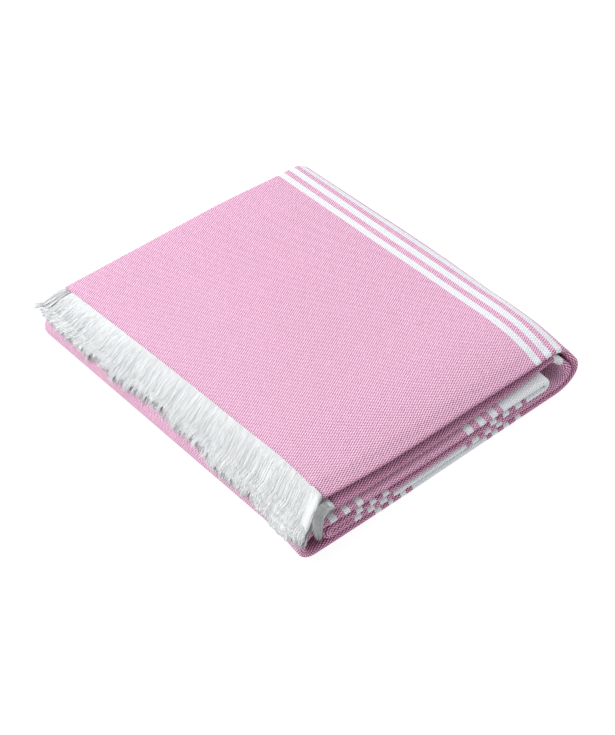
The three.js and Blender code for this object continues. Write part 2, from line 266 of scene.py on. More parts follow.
def crease_lift(x, y):
    """Height of the soft creases at a place on the top."""
    lift = np.zeros_like(x)
    for cx, cy, heading, length, width, height in CREASES:
        turn = math.radians(heading)
        along = (x - cx * MM) * math.cos(turn) + (y - cy * MM) * math.sin(turn)
        across = (y - cy * MM) * math.cos(turn) - (x - cx * MM) * math.sin(turn)
        fade = np.exp(-(2 * along / (length * MM)) ** 2)
        lift = lift + height * MM * np.exp(-(across / (width * MM)) ** 2) * fade
    return lift


def soften(cloth, x, y_before, z, layer_z):
    """The soft form of the stack: crowned top, drooping front lip, shifted ends and creases."""
    width = cloth.folded_width
    stack = 20 * cloth.ply_pitch + 2 * layer_height(cloth, 1)
    y = y_before + set_back(cloth, x, layer_z) * (1 - y_before / width)
    share = y / width
    arch = 1 - (2 * share - 1) ** 2
    along = x / HALF_LENGTH
    upper = np.clip(z / stack, 0, 1.2)
    crown = cloth.crown * arch * (1 - 0.5 * np.minimum(1, along ** 2))
    drop = cloth.lip_droop + (LIP_DROOP_AT_LEFT - cloth.lip_droop) * smooth(-along)
    lip = drop * (1 - smooth(y / LIP_WIDTH))
    ridge = RIDGE * np.exp(-((y - RIDGE_AT) / RIDGE_WIDTH) ** 2) * (0.65 + 0.35 * np.clip(along, -1, 1))
    wave = LIP_WAVE * np.sin(x / LIP_WAVE_LENGTH + 0.8) * (1 - smooth(y / (2 * LIP_WIDTH)))
    crease = crease_lift(x, y - width / 2) * upper ** 2
    scale = 1 + (crown - lip + ridge + wave + crease) / stack
    end = smooth((upper - 0.6) / 0.3)
    shift = np.interp(share, END_PLACES, END_SHIFTS) * MM * end * smooth(-along)
    shift = shift - LEFT_CORNER * (1 - smooth(share / 0.1)) * (1 - end) * smooth((-along - 0.75) / 0.25)
    rim = np.interp(share, RIM_PLACES, RIM_SHIFTS) * MM
    shift = shift + rim * smooth((x - RIM_BOW_FROM) / RIM_BOW_SPAN)
    shift = shift + TOP_BOW * np.exp(-((share - 0.32) / 0.22) ** 2) * smooth(along) * end
    bulge = BACK_BULGE * share * (1 - smooth((x - 0.04) / 0.1))
    return np.stack(np.broadcast_arrays(x + shift, y + bulge - width / 2, z * scale), axis=-1)


def length_route(cloth, step):
    """Stations along the cloth's length, at the middle of the four plies.

    Each row holds x, z, the normal's x and z, the distance along the cloth, and how far and where
    the front folds are pressed. White says which steps are woven in white.
    """
    half_pack = layer_height(cloth, 1)
    rims = {"inner_right_rim": cloth.right_rim - 4 * cloth.ply_pitch}
    rows = []
    white_spans = []
    knots = []
    x, distance, normal = cloth.upper_end, 0.0, 1

    def straight(layer, to_x):
        nonlocal x, distance
        heading = 1 if to_x > x else -1
        cuts = {x, to_x}
        for low, high in WHITE_STRAIGHT.get(layer, ()):
            cuts |= {low * MM, high * MM}
            spans = sorted((abs(low * MM - x), abs(high * MM - x)))
            white_spans.append((distance + spans[0], distance + spans[1]))
        for low, high in WHITE_TURN.get(layer, ()):
            if low < 0:
                cuts.add(to_x + heading * low * MM)
        cuts = sorted(cuts, reverse=heading < 0)
        for a, b in zip(cuts, cuts[1:]):
            steps = max(1, round(abs(b - a) / step))
            for i in range(steps):
                at = a + (b - a) * i / steps
                rows.append((at, layer_height(cloth, layer), 0, normal, distance + abs(at - x)))
        end = distance + abs(to_x - x)
        pinch = PINCH[layer]
        knots.extend((at, pinch["keep"], normal * pinch["at"] * MM) for at in (
            distance + (PINCH_FADE if distance > 0 else 0), end - (PINCH_FADE if layer != 5 else 0)))
        distance = end
        x = to_x

    for turn in TURNS:
        start, end = layer_height(cloth, turn["from"]), layer_height(cloth, turn["to"])
        radius = abs(end - start) / 2
        rim = rims.get(turn["rim"]) or getattr(cloth, turn["rim"])
        centre_x = rim - turn["side"] * (radius + half_pack)
        straight(turn["from"], centre_x)
        down = math.copysign(1, start - end)
        outside = normal * down
        angles = [math.pi * i / turn["steps"] for i in range(turn["steps"])]
        for low, high in WHITE_TURN.get(turn["from"], ()):
            white_spans.append((distance + low * MM, distance + high * MM))
            angles += [a * MM / radius for a in (low, high) if 0 < a * MM < math.pi * radius - 1e-5]
        for angle in sorted(set(round(a, 6) for a in angles)):
            out_x, out_z = turn["side"] * math.sin(angle), down * math.cos(angle)
            rows.append((
                centre_x + radius * out_x, (start + end) / 2 + radius * out_z,
                outside * out_x, outside * out_z, distance + radius * angle,
            ))
        knots.append((distance + math.pi * radius / 2, PINCH_AT_TURNS, 0.0))
        distance += math.pi * radius
        x, normal = centre_x, -normal
    straight(5, cloth.lower_end)
    rows.append((cloth.lower_end, layer_height(cloth, 5), 0, normal, distance))
    route = np.array(rows)
    knots = np.array(knots)
    pinch = np.stack([np.interp(route[:, 4], knots[:, 0], knots[:, k]) for k in (1, 2)], axis=1)
    route = np.concatenate((route, pinch), axis=1)
    middles = (route[:-1, 4] + route[1:, 4]) / 2
    white = np.zeros(len(middles), bool)
    for low, high in white_spans:
        white |= (middles > low) & (middles < high)
    return route, white


# Distance between rows of points along the length
LENGTH_STEP = 0.0085
# Places across the width where the straight plies get a row of points, in millimetres
ACROSS = (
    4.5, 6.5, 9, 12, 14.5, 18, 23, 30, 38, 47, 57, 68, 82, 100, 120, 142, 165, 190, 215, 240, 262, 284,
    304, 322, 336,
)


def width_section(cloth):
    """The section across the width, from selvedge to selvedge: y, height, and the normal."""
    pitch = cloth.ply_pitch
    outer, inner = 1.5 * pitch, 0.5 * pitch
    back = cloth.folded_width - 0.003
    points = []

    def straight(h, up, forward):
        places = [y * MM for y in (ACROSS if forward else ACROSS[::-1])]
        points.extend((y, h, 0, up) for y in places if abs(h) > pitch or y > INNER_FOLD_AT + 0.0015)

    def turn(centre_y, centre_h, radius, side, start_up, steps, outward):
        for i in range(steps + 1):
            angle = math.pi * i / steps
            out_y, out_h = side * math.sin(angle), start_up * math.cos(angle)
            points.append((
                centre_y + radius * out_y, centre_h + radius * out_h, outward * out_y, outward * out_h))

    points.append((back + 0.0014, -outer, 0, -1))
    straight(-outer, -1, False)
    turn(outer, 0, outer, -1, -1, 14, 1)
    straight(outer, 1, True)
    turn(back - 0.001, pitch, inner, 1, 1, 6, 1)
    straight(inner, -1, False)
    turn(INNER_FOLD_AT, 0, inner, -1, 1, 8, -1)
    straight(-inner, 1, True)
    points.append((back + 0.0005, -inner, 0, 1))
    return np.array(points)


def across_distance(section):
    """Distance along the section across the width, at each of its points."""
    steps = np.hypot(np.diff(section[:, 0]), np.diff(section[:, 1]))
    return np.concatenate(([0], np.cumsum(steps)))


def mesh_object(name, verts, faces, materials, uvs=None, indices=None, drape=None):
    """A smooth-shaded mesh object of quads, with its materials and one coordinate map."""
    mesh = bpy.data.meshes.new(name)
    mesh.from_pydata(verts.tolist(), [], faces.tolist())
    for material in materials:
        mesh.materials.append(material)
    if uvs is not None:
        layer = mesh.uv_layers.new(name="Cloth")
        layer.data.foreach_set("uv", uvs[faces.ravel()].ravel())
    if indices is not None:
        mesh.polygons.foreach_set("material_index", indices)
    if drape is not None:
        mesh.attributes.new("Drape", "FLOAT_VECTOR", "POINT").data.foreach_set("vector", drape.ravel())
    mesh.shade_smooth()
    mesh.update()
    obj = bpy.data.objects.new(name, mesh)
    bpy.context.collection.objects.link(obj)
    return obj


def sweep_sheet(cloth, route, white, section):
    """Vertices, faces, white faces and cloth coordinates of the closed sheet."""
    rows, columns = len(route), len(section)
    half = cloth.sheet_thickness / 2
    faces_of, uv_of = [], []
    x, z, nx, nz, distance, keep, at = (route[:, k, None] for k in range(7))
    across = across_distance(section)
    press = keep + (1 - keep) * smooth((section[:, 0] - PINCH_FROM) / (PINCH_TO - PINCH_FROM))
    y_middle = np.broadcast_to(section[:, 0], (rows, columns))
    h_middle = at * (1 - press) / (1 - keep) + (section[:, 1] - at * (1 - press) / (1 - keep)) * press
    normal_y, normal_h = -np.gradient(h_middle, axis=1), np.gradient(y_middle, axis=1)
    facing = np.sign(normal_y * section[:, 2] + normal_h * section[:, 3])
    size = np.hypot(normal_y, normal_h) * facing
    normal_y, normal_h = normal_y / size, normal_h / size
    for face in (1, -1):
        y = y_middle + face * half * normal_y
        h = h_middle + face * half * normal_h
        faces_of.append(soften(cloth, x + nx * h, y, z + nz * h, z).reshape(-1, 3))
        uv_of.append(np.stack(np.broadcast_arrays(distance, across), axis=-1).reshape(-1, 2))
    verts, uvs = np.concatenate(faces_of), np.concatenate(uv_of)
    size = rows * columns
    i, j = (k.ravel() for k in np.meshgrid(np.arange(rows - 1), np.arange(columns - 1), indexing="ij"))
    a = i * columns + j
    b, c, d = a + 1, a + columns + 1, a + columns
    top = np.stack((a, d, c, b), axis=-1)
    under = np.stack((a, b, c, d), axis=-1) + size
    first = np.arange(rows - 1) * columns
    last = first + columns - 1
    side_a = np.stack((first, size + first, size + first + columns, first + columns), axis=-1)
    side_b = np.stack((last, last + columns, size + last + columns, size + last), axis=-1)
    k = np.arange(columns - 1)
    end = (rows - 1) * columns + k
    end_a = np.stack((k, k + 1, size + k + 1, size + k), axis=-1)
    end_b = np.stack((end, size + end, size + end + 1, end + 1), axis=-1)
    faces = np.concatenate((top, under, side_a, side_b, end_a, end_b))
    whites = np.concatenate((white[i], white[i], white, white, np.zeros(2 * (columns - 1), bool)))
    return verts, faces, whites, uvs


def volume(verts, faces):
    """Signed volume inside a closed mesh of quads."""
    a, b, c, d = (verts[faces[:, k]] for k in range(4))
    return float((np.einsum("ij,ij->", a, np.cross(b, c)) + np.einsum("ij,ij->", a, np.cross(c, d))) / 6)


# The fringes


SHELL_RISE = 0.0008
SHELL_PITCH = 0.00075
FIRST_SHELL = 0.0012
CLUMP_WIDTH = 0.0032
DRAPE_STEPS = 4
DRAPE_START = math.radians(70)
MAT_STEPS = 8
MAT_DEPTHS = (-0.1, -0.6)
MAT_FROM = 0.0046
MAT_TO = 0.0004
ROOT_GAP = 0.0008
# Locks that the threads gather in, how much, and how the gathering and the lean grow towards the tips
LOCK_COUNT = 1000
GATHER = 0.15
FAN_CURVE = 1.6
LOCK_LIFT = 0.05
LOCK_SHIFT = 0.0003
# How the threads lean to the near side, fan out and lift at the far side, and sag at the near end
LEAN = -0.004
FAN_FAR = 0.014
FAR_LIFT = 0.003
# How much of the fan and lift the fringe of each layer has
FAR_SPREAD = {6: 1.0, 5: 0.2}
NEAR_SAG = 0.0025
# The angle above level over the left fold where the threads end, by place across the width
TIP_PLACES = (
    0.0, 0.02, 0.05, 0.09, 0.12, 0.16, 0.25, 0.32, 0.36, 0.41, 0.47, 0.54, 0.62, 0.70, 0.74, 0.80, 0.88,
    0.95, 1.0,
)
TIP_ANGLES = (36, 30, 8, -6, 8, 22, 18, 20, 34, 44, 38, 46, 38, 26, 44, 33, 34, 40, 50)
# Strands of the lower fringe that curl out over the near end of the left fold, from root to tip,
# in millimetres: x, y and z of the outer edge, then of the inner edge
TUFT_LOCKS = 13
TUFT = (
    (-115.4, -172.0, 35.4, -114.4, -160.0, 35.5),
    (-126.3, -175.0, 42.2, -127.4, -166.0, 42.7),
    (-132.2, -176.8, 40.3, -137.2, -171.0, 45.7),
    (-135.5, -177.6, 33.3, -142.9, -174.5, 43.4),
    (-135.1, -177.6, 22.2, -144.2, -176.5, 35.2),
    (-136.3, -176.8, 14.9, -140.8, -177.0, 22.3),
)
TUFT_FACING = (-0.25, -0.85, 0.45)


def thread_route(cloth, root_x, y, z, shell, tip, steps):
    """Points of threads off their roots, over the left fold and down its face."""
    half_pack = layer_height(cloth, 1)
    radius = (layer_height(cloth, 4) - half_pack) / 2
    centre_x = cloth.left_rim + radius + half_pack
    centre_z = (layer_height(cloth, 4) + half_pack) / 2 + SHELL_RISE * shell
    reach = radius + half_pack + FIRST_SHELL + SHELL_PITCH * shell
    rise = radius + half_pack + FIRST_SHELL
    first_x = centre_x - reach * math.cos(DRAPE_START)
    first_z = centre_z + rise * math.sin(DRAPE_START)
    xs, zs = [root_x + 0 * y], [z]
    for share, sag in ((0.2, 0.0006), (0.55, 0.001)):
        xs.append(root_x + (first_x - root_x) * share)
        zs.append(z + (first_z - z) * share + sag)
    for i in range(steps + 1):
        angle = DRAPE_START + (tip - DRAPE_START) * i / steps
        xs.append(centre_x - reach * np.cos(angle))
        zs.append(centre_z + rise * np.sin(angle))
    return np.stack(xs, axis=1), np.stack(zs, axis=1)


def ragged_ends(share):
    """How uneven the locks' ends are, in degrees: less at the near end."""
    return 2.5 + 4.5 * smooth((share - 0.08) / 0.1)


def lock_scatter(fringe, place, seed):
    """How the locks that the threads gather in differ: three repeatable values a lock, about 0."""
    locks = np.random.default_rng((fringe.seed, seed)).normal(0, 1, (3, LOCK_COUNT))
    return locks[:, np.floor(place / CLUMP_WIDTH).astype(int)]


def fan_out(share, t, layer):
    """How far threads lean to the near side at the near end, and to the far side at the far end."""
    near = LEAN * (1 - smooth(share / 0.1))[:, None] * t ** FAN_CURVE
    return near + FAR_SPREAD[layer] * FAN_FAR * smooth((share - 0.6) / 0.4)[:, None] * t


def end_lift(share, t, layer):
    """Threads at the far end stand out from the fold, and those at the near end sag."""
    far = FAR_SPREAD[layer] * FAR_LIFT * smooth((share - 0.9) / 0.1)[:, None] * t
    return far - NEAR_SAG * (1 - smooth(share / 0.05))[:, None] * smooth(2 * t)


def packed_yarn(cloth, fringe, section, end_x, layer, first_shell, seed, rows=300):
    """The dense yarn under the loose threads: a thin closed mat on the drape, with a ragged end."""
    across = across_distance(section)
    quarter = across[-1] / 4
    place = np.linspace(quarter - MAT_FROM, 2 * quarter - MAT_TO, rows)
    ys = np.interp(place, across, section[:, 0])
    h = np.interp(place, across, section[:, 1])
    share = ys / cloth.folded_width
    lift, shift, length = lock_scatter(fringe, place, seed)
    ragged = np.random.default_rng((fringe.seed, seed, 1)).normal(0, 4, rows)
    tip = np.radians(np.interp(share, TIP_PLACES, TIP_ANGLES) + 8 - ragged_ends(share) * length + ragged)
    shell = first_shell + h / cloth.ply_pitch + 1.5 + LOCK_LIFT * lift
    grids = []
    for depth in MAT_DEPTHS:
        xs, zs = thread_route(
            cloth, end_x + ROOT_GAP, ys, layer_height(cloth, layer) + h, shell + depth, tip, MAT_STEPS)
        t = np.linspace(0, 1, xs.shape[1])[None, :]
        out = ys[:, None] + fan_out(share, t, layer) + LOCK_SHIFT * shift[:, None] * t
        zs = zs + end_lift(share, t, layer)
        grids.append(soften(cloth, xs, out, zs, zs - h[:, None]))
    columns = grids[0].shape[1]
    verts = np.concatenate([g.reshape(-1, 3) for g in grids])
    size = rows * columns
    i, j = (k.ravel() for k in np.meshgrid(np.arange(rows - 1), np.arange(columns - 1), indexing="ij"))
    a = i * columns + j
    over = np.stack((a, a + 1, a + columns + 1, a + columns), axis=-1)
    side = np.concatenate((np.arange(columns - 1), (rows - 1) * columns + np.arange(columns - 1)))
    first = np.arange(rows - 1) * columns
    edge = np.concatenate((first, first + columns - 1))
    sides = np.stack((side, side + 1, side + 1 + size, side + size), axis=-1)
    edges = np.stack((edge, edge + columns, edge + columns + size, edge + size), axis=-1)
    faces = np.concatenate((over, over[:, ::-1] + size, sides, edges))
    drape = np.cross(np.gradient(grids[0], axis=0), np.gradient(grids[0], axis=1))
    drape /= np.linalg.norm(drape, axis=-1, keepdims=True) * np.sign(drape[..., 2].mean())
    drape = np.tile(drape.reshape(-1, 3), (2, 1))
    uvs = np.tile(np.stack(np.broadcast_arrays(place[:, None], t), axis=-1).reshape(-1, 2), (2, 1))
    return verts, faces, uvs, drape


def thread_tubes(points, radius, rng, drape=None):
    """Thin three-sided threads along rows of points, with the way that their drape faces."""
    count, steps = points.shape[:2]
    t = np.linspace(0, 1, steps)[None, :]
    tangent = np.gradient(points, axis=1)
    tangent /= np.linalg.norm(tangent, axis=-1, keepdims=True)
    side = np.cross(tangent, (0.0, 1.0, 0.0))
    side /= np.linalg.norm(side, axis=-1, keepdims=True)
    other = np.cross(tangent, side)
    radius = radius * rng.uniform(0.75, 1.2, count)[:, None] * np.where(t > 0.99, 0.35, 1.0)
    spin = rng.uniform(0, 2 * math.pi, count)[:, None]
    rings = []
    for k in range(3):
        angle = spin + 2 * math.pi * k / 3
        offset = (radius * np.cos(angle))[..., None] * side
        rings.append(points + offset + (radius * np.sin(angle))[..., None] * other)
    verts = np.stack(rings, axis=2).reshape(-1, 3)
    start = (np.arange(count) * steps * 3)[:, None, None]
    ring = (np.arange(steps - 1) * 3)[None, :, None]
    corner = np.arange(3)[None, None, :]
    a = start + ring + corner
    b = start + ring + (corner + 1) % 3
    faces = np.stack((a, b, b + 3, a + 3), axis=-1).reshape(-1, 4)
    facing = -side if drape is None else np.broadcast_to(drape, side.shape)
    tone = rng.random(count)[:, None, None]
    uvs = np.stack(np.broadcast_arrays(tone, t[..., None], np.zeros((1, 1, 3))), axis=-1)
    uvs = uvs[..., :2].reshape(-1, 2)
    return verts, faces, uvs, np.repeat(facing[:, :, None, :], 3, axis=2).reshape(-1, 3)


def loose_threads(cloth, fringe, section, end_x, layer, first_shell, count, top_share, seed):
    """The loose threads of one fringe, gathered in locks."""
    rng = np.random.default_rng((fringe.seed, seed, 2))
    across = across_distance(section)
    quarter = across[-1] / 4
    # The ply on top holds a larger share of the threads, because it is the one that shows
    on_top = rng.random(count) < top_share
    place = np.where(on_top, rng.uniform(0.98, 2.0, count) * quarter, rng.uniform(0, 4, count) * quarter)
    y = np.interp(place, across, section[:, 0])
    h = np.interp(place, across, section[:, 1])
    lock_lift, lock_shift, lock_length = lock_scatter(fringe, place, seed)
    shell = first_shell + h / cloth.ply_pitch + 1.5 + rng.normal(0, 0.1, count) + LOCK_LIFT * lock_lift
    middle = (np.floor(place / CLUMP_WIDTH) + 0.5) * CLUMP_WIDTH
    toward = np.interp(middle, across, section[:, 0]) - y
    share = y / cloth.folded_width
    base = np.interp(share, TIP_PLACES, TIP_ANGLES) - (first_shell + 3 - shell) * 1.2
    tip = np.radians(base + 2 - ragged_ends(share) * lock_length + rng.normal(0, 4.5, count))
    xs, zs = thread_route(
        cloth, end_x + ROOT_GAP, y, layer_height(cloth, layer) + h, shell, tip, DRAPE_STEPS)
    t = np.linspace(0, 1, xs.shape[1])[None, :]
    turns = rng.uniform(0.6, 1.3, count)[:, None]
    phase = rng.uniform(0, 2 * math.pi, count)[:, None]
    out = LOCK_SHIFT * lock_shift + rng.normal(0, 0.0008, count)
    sway = fringe.wave * np.sin(2 * math.pi * t * turns + phase) * np.minimum(1, 3 * t)
    ys = y[:, None] + fan_out(share, t, layer) + out[:, None] * t ** FAN_CURVE
    ys = ys + GATHER * toward[:, None] * smooth(t * 1.5) + sway
    zs = zs + 0.00015 * np.cos(2 * math.pi * t * turns + phase) * np.minimum(1, 3 * t)
    zs = zs + end_lift(share, t, layer)
    points = soften(cloth, xs, ys, zs, zs - h[:, None])
    return thread_tubes(points, fringe.thread_radius, rng)


def corner_tuft(fringe, count):
    """The strands of the lower fringe that curl out at its near end."""
    rng = np.random.default_rng((fringe.seed, 9))
    table = np.array(TUFT) * MM
    lock = (rng.integers(0, TUFT_LOCKS, count) + 0.5) / TUFT_LOCKS
    spread = np.clip(lock + rng.normal(0, 0.15 / TUFT_LOCKS, count), 0, 1)[:, None, None]
    rows = table[:, :3] * (1 - spread) + table[:, 3:] * spread
    t = np.linspace(0, 1, len(TUFT))
    cut = 1 - 0.25 * rng.random(count) ** 2
    points = np.stack([np.stack([np.interp(t * c, t, row[:, k]) for k in range(3)], axis=-1)
                       for row, c in zip(rows, cut)])
    drift = rng.normal(0, 0.0007, (count, 1, 3)) * t[None, :, None]
    wave = 0.0004 * np.sin(5 * t[None, :] + rng.uniform(0, 2 * math.pi, count)[:, None])
    points = points + drift
    points[..., 0] += wave * np.minimum(1, 3 * t)
    return thread_tubes(points, fringe.thread_radius, rng, drape=TUFT_FACING)


def join_meshes(parts):
    """One set of vertices, faces, coordinates and drape out of several."""
    verts, faces, uvs, drape = ([part[k] for part in parts] for k in range(4))
    offsets = np.cumsum([0] + [len(v) for v in verts[:-1]])
    faces = np.concatenate([f + offset for f, offset in zip(faces, offsets)])
    return np.concatenate(verts), faces, np.concatenate(uvs), np.concatenate(drape)


# Materials


TWILL_SLANT = 0.5
PINK_CONTRAST = 1.0
PINK_RELIEF = 0.0009
WHITE_CONTRAST = 0.9
WHITE_RELIEF = 0.0006
# How the slanted rib and its floats are mixed, and the level and spread of the shade they give
FLOAT_SHARE = 0.8
RIB_SPREAD = 0.46
RIB_LEVEL = 0.56
HEATHER = 0.3
WEAVE_BUMP = 0.55
# Width of the strip at each front fold where painted shade darkens the weave
FOLD_SHADE_WIDTH = 0.009
# How much a thread is shaded like the drape it lies in
DRAPE_SHARE = 0.65


def node(tree, kind, place, **inputs):
    """Adds a node and sets its inputs: a name with underscores, or a socket to link from."""
    made = tree.nodes.new(kind)
    made.location = place
    for name, value in inputs.items():
        socket = made.inputs[name.replace("_", " ")]
        if isinstance(value, bpy.types.NodeSocket):
            tree.links.new(value, socket)
        else:
            socket.default_value = value
    return made


def math_node(tree, operation, place, first, second=None, third=None):
    """Adds a math node on numbers or sockets and returns its output."""
    made = tree.nodes.new("ShaderNodeMath")
    made.operation = operation
    made.location = place
    for socket, value in zip(made.inputs, (first, second, third)):
        if isinstance(value, bpy.types.NodeSocket):
            tree.links.new(value, socket)
        elif value is not None:
            socket.default_value = value
    return made.outputs[0]


def weave_group():
    """Twill weave: slanted ribs broken into floats, with a heathered yarn."""
    name = "Twill weave"
    if name in bpy.data.node_groups:
        return bpy.data.node_groups[name]
    tree = bpy.data.node_groups.new(name, "ShaderNodeTree")
    face = tree.interface
    face.new_socket("Coordinates", in_out="INPUT", socket_type="NodeSocketVector")
    for label, value in (("Spacing", 2.1), ("Slant", 0.5), ("Float", 1.7), ("Unevenness", 1.0)):
        face.new_socket(label, in_out="INPUT", socket_type="NodeSocketFloat").default_value = value
    for label in ("Rib", "Heather", "Height"):
        face.new_socket(label, in_out="OUTPUT", socket_type="NodeSocketFloat")
    start = tree.nodes.new("NodeGroupInput")
    start.location = (-1400, 0)
    sizes = node(tree, "ShaderNodeVectorMath", (-1200, 0))
    sizes.operation = "SCALE"
    tree.links.new(start.outputs["Coordinates"], sizes.inputs[0])
    sizes.inputs["Scale"].default_value = 1 / MM
    split = node(tree, "ShaderNodeSeparateXYZ", (-1050, 0), Vector=sizes.outputs[0])
    waver = node(tree, "ShaderNodeTexNoise", (-1050, -250), Vector=sizes.outputs[0], Scale=0.35, Detail=2.0)
    shift = math_node(tree, "MULTIPLY_ADD", (-880, -250), waver.outputs[0], start.outputs["Unevenness"], 0.0)
    slanted = math_node(tree, "MULTIPLY_ADD", (-880, 0), split.outputs[0], start.outputs["Slant"], shift)
    across = math_node(tree, "SUBTRACT", (-720, 0), split.outputs[1], slanted)
    lines = math_node(tree, "DIVIDE", (-560, 0), across, start.outputs["Spacing"])
    turn = math_node(tree, "MULTIPLY", (-400, 0), lines, 2 * math.pi)
    rib = math_node(tree, "SINE", (-240, 0), turn)
    floats = math_node(tree, "DIVIDE", (-560, -180), split.outputs[0], start.outputs["Float"])
    float_turn = math_node(tree, "MULTIPLY_ADD", (-400, -180), floats, 2 * math.pi, turn)
    beads = math_node(tree, "SINE", (-240, -180), float_turn)
    mixed = math_node(tree, "MULTIPLY_ADD", (-80, 0), beads, FLOAT_SHARE, rib)
    mask = math_node(tree, "MULTIPLY_ADD", (80, 0), mixed, RIB_SPREAD, RIB_LEVEL)
    stretch = node(tree, "ShaderNodeMapping", (-1050, -520), Vector=sizes.outputs[0], Scale=(0.12, 0.9, 1.0))
    heather = node(tree, "ShaderNodeTexNoise", (-880, -520), Vector=stretch.outputs[0], Scale=1.0, Detail=3.0,
                   Roughness=0.65)
    speck = node(tree, "ShaderNodeTexNoise", (-880, -760), Vector=sizes.outputs[0], Scale=0.9, Detail=2.0)
    blend = math_node(tree, "ADD", (-700, -520), heather.outputs[0], speck.outputs[0])
    even = math_node(tree, "MULTIPLY_ADD", (-540, -520), blend, 1.6, -1.1)
    high = math_node(tree, "MULTIPLY_ADD", (80, -250), speck.outputs[0], 0.25, mask)
    end = tree.nodes.new("NodeGroupOutput")
    end.location = (300, 0)
    for socket, value in (("Rib", mask), ("Heather", even), ("Height", high)):
        tree.links.new(value, end.inputs[socket])
    return tree


def woven_material(name, light, deep, spacing, contrast, depth, panel, fold_shade_strength):
    """Matt woven cotton: the rib and the heather mix two shades, and the rib lifts the surface.

    Over the front folds, which lie every two panels across, painted shade moves the tone towards the deep
    shade.
    """
    material = bpy.data.materials.new(name)
    material.use_nodes = True
    tree = material.node_tree
    tree.nodes.clear()
    place = node(tree, "ShaderNodeUVMap", (-900, 0))
    place.uv_map = "Cloth"
    weave = node(tree, "ShaderNodeGroup", (-700, 0))
    weave.node_tree = weave_group()
    tree.links.new(place.outputs[0], weave.inputs["Coordinates"])
    weave.inputs["Spacing"].default_value = spacing
    weave.inputs["Slant"].default_value = TWILL_SLANT
    tone = math_node(tree, "MULTIPLY_ADD", (-480, 60), weave.outputs["Rib"], contrast, 0.5 - contrast / 2)
    split = node(tree, "ShaderNodeSeparateXYZ", (-740, 320), Vector=place.outputs[0])
    # Painted shade: a strip along each front fold where the tone is lowered towards the deep shade
    panel_place = math_node(tree, "PINGPONG", (-600, 320), split.outputs[1], panel)
    start = 1.5 - panel / FOLD_SHADE_WIDTH
    near_fold = math_node(tree, "MULTIPLY_ADD", (-460, 320), panel_place, 1 / FOLD_SHADE_WIDTH, start)
    painted_fold_shade = node(tree, "ShaderNodeClamp", (-320, 320), Value=near_fold)
    fold_shaded_tone = math_node(tree, "MULTIPLY_ADD", (-320, 200), painted_fold_shade.outputs[0], -fold_shade_strength, tone)
    heathered = math_node(tree, "MULTIPLY_ADD", (-320, 60), weave.outputs["Heather"], HEATHER, fold_shaded_tone)
    level = node(tree, "ShaderNodeClamp", (-240, 60), Value=heathered)
    colour = node(tree, "ShaderNodeMix", (-120, 60))
    colour.data_type = "RGBA"
    tree.links.new(level.outputs[0], colour.inputs["Factor"])
    colour.inputs[6].default_value = (*deep, 1)
    colour.inputs[7].default_value = (*light, 1)
    rough = math_node(tree, "MULTIPLY_ADD", (-120, -160), weave.outputs["Rib"], -0.08, 0.92)
    bump = node(tree, "ShaderNodeBump", (-120, -320), Height=weave.outputs["Height"],
                Strength=WEAVE_BUMP, Distance=depth)
    shader = node(tree, "ShaderNodeBsdfPrincipled", (120, 0), Base_Color=colour.outputs[2], Roughness=rough,
                  Normal=bump.outputs[0])
    shader.inputs["Sheen Weight"].default_value = 0.03
    shader.inputs["Sheen Roughness"].default_value = 0.5
    shader.inputs["Specular IOR Level"].default_value = 0.1
    out = node(tree, "ShaderNodeOutputMaterial", (400, 0))
    tree.links.new(shader.outputs[0], out.inputs["Surface"])
    return material


def yarn_material(fringe):
    """Loose white yarn: each thread a little lighter or duller than the next."""
    material = bpy.data.materials.new("White yarn")
    material.use_nodes = True
    tree = material.node_tree
    tree.nodes.clear()
    place = node(tree, "ShaderNodeUVMap", (-900, 0))
    place.uv_map = "Cloth"
    stretch = node(tree, "ShaderNodeMapping", (-740, -200), Vector=place.outputs[0], Scale=(1300.0, 6.0, 1.0))
    slub = node(tree, "ShaderNodeTexNoise", (-560, -200), Vector=stretch.outputs[0], Scale=1.0, Detail=2.0)
    tone = math_node(tree, "MULTIPLY_ADD", (-400, 0), slub.outputs[0], 2.4, -0.7)
    level = node(tree, "ShaderNodeClamp", (-240, 0), Value=tone)
    colour = node(tree, "ShaderNodeMix", (-80, 0))
    colour.data_type = "RGBA"
    tree.links.new(level.outputs[0], colour.inputs["Factor"])
    colour.inputs[6].default_value = (*fringe.yarn_shade, 1)
    colour.inputs[7].default_value = (*fringe.yarn, 1)
    # Light passes through loose yarn, so a thread is shaded partly as the drape it lies in
    drape = node(tree, "ShaderNodeAttribute", (-560, -420))
    drape.attribute_name = "Drape"
    facing = node(tree, "ShaderNodeNewGeometry", (-560, -600))
    mixed = node(tree, "ShaderNodeMix", (-340, -420), Factor=DRAPE_SHARE)
    mixed.data_type = "VECTOR"
    tree.links.new(facing.outputs["Normal"], mixed.inputs[4])
    tree.links.new(drape.outputs["Vector"], mixed.inputs[5])
    even = node(tree, "ShaderNodeVectorMath", (-160, -420))
    even.operation = "NORMALIZE"
    tree.links.new(mixed.outputs[1], even.inputs[0])
    bump = node(tree, "ShaderNodeBump", (0, -420), Height=slub.outputs[0], Strength=0.6, Distance=0.0005,
                Normal=even.outputs[0])
    shader = node(tree, "ShaderNodeBsdfPrincipled", (140, 0), Base_Color=colour.outputs[2],
                  Normal=bump.outputs[0])
    shader.inputs["Roughness"].default_value = 0.85
    shader.inputs["Sheen Weight"].default_value = 0.15
    shader.inputs["Specular IOR Level"].default_value = 0.25
    out = node(tree, "ShaderNodeOutputMaterial", (400, 0))
    tree.links.new(shader.outputs[0], out.inputs["Surface"])
    return material


# Operators


FLOOR_REACH = 6.0
FLOOR_GAP = 0.0002
# Name, size and place of each soft light
LIGHTS = (
    ("Key", 2.2, (-1.0, 1.15, 1.7)),
    ("Fill", 1.4, (1.3, -0.6, 0.9)),
)


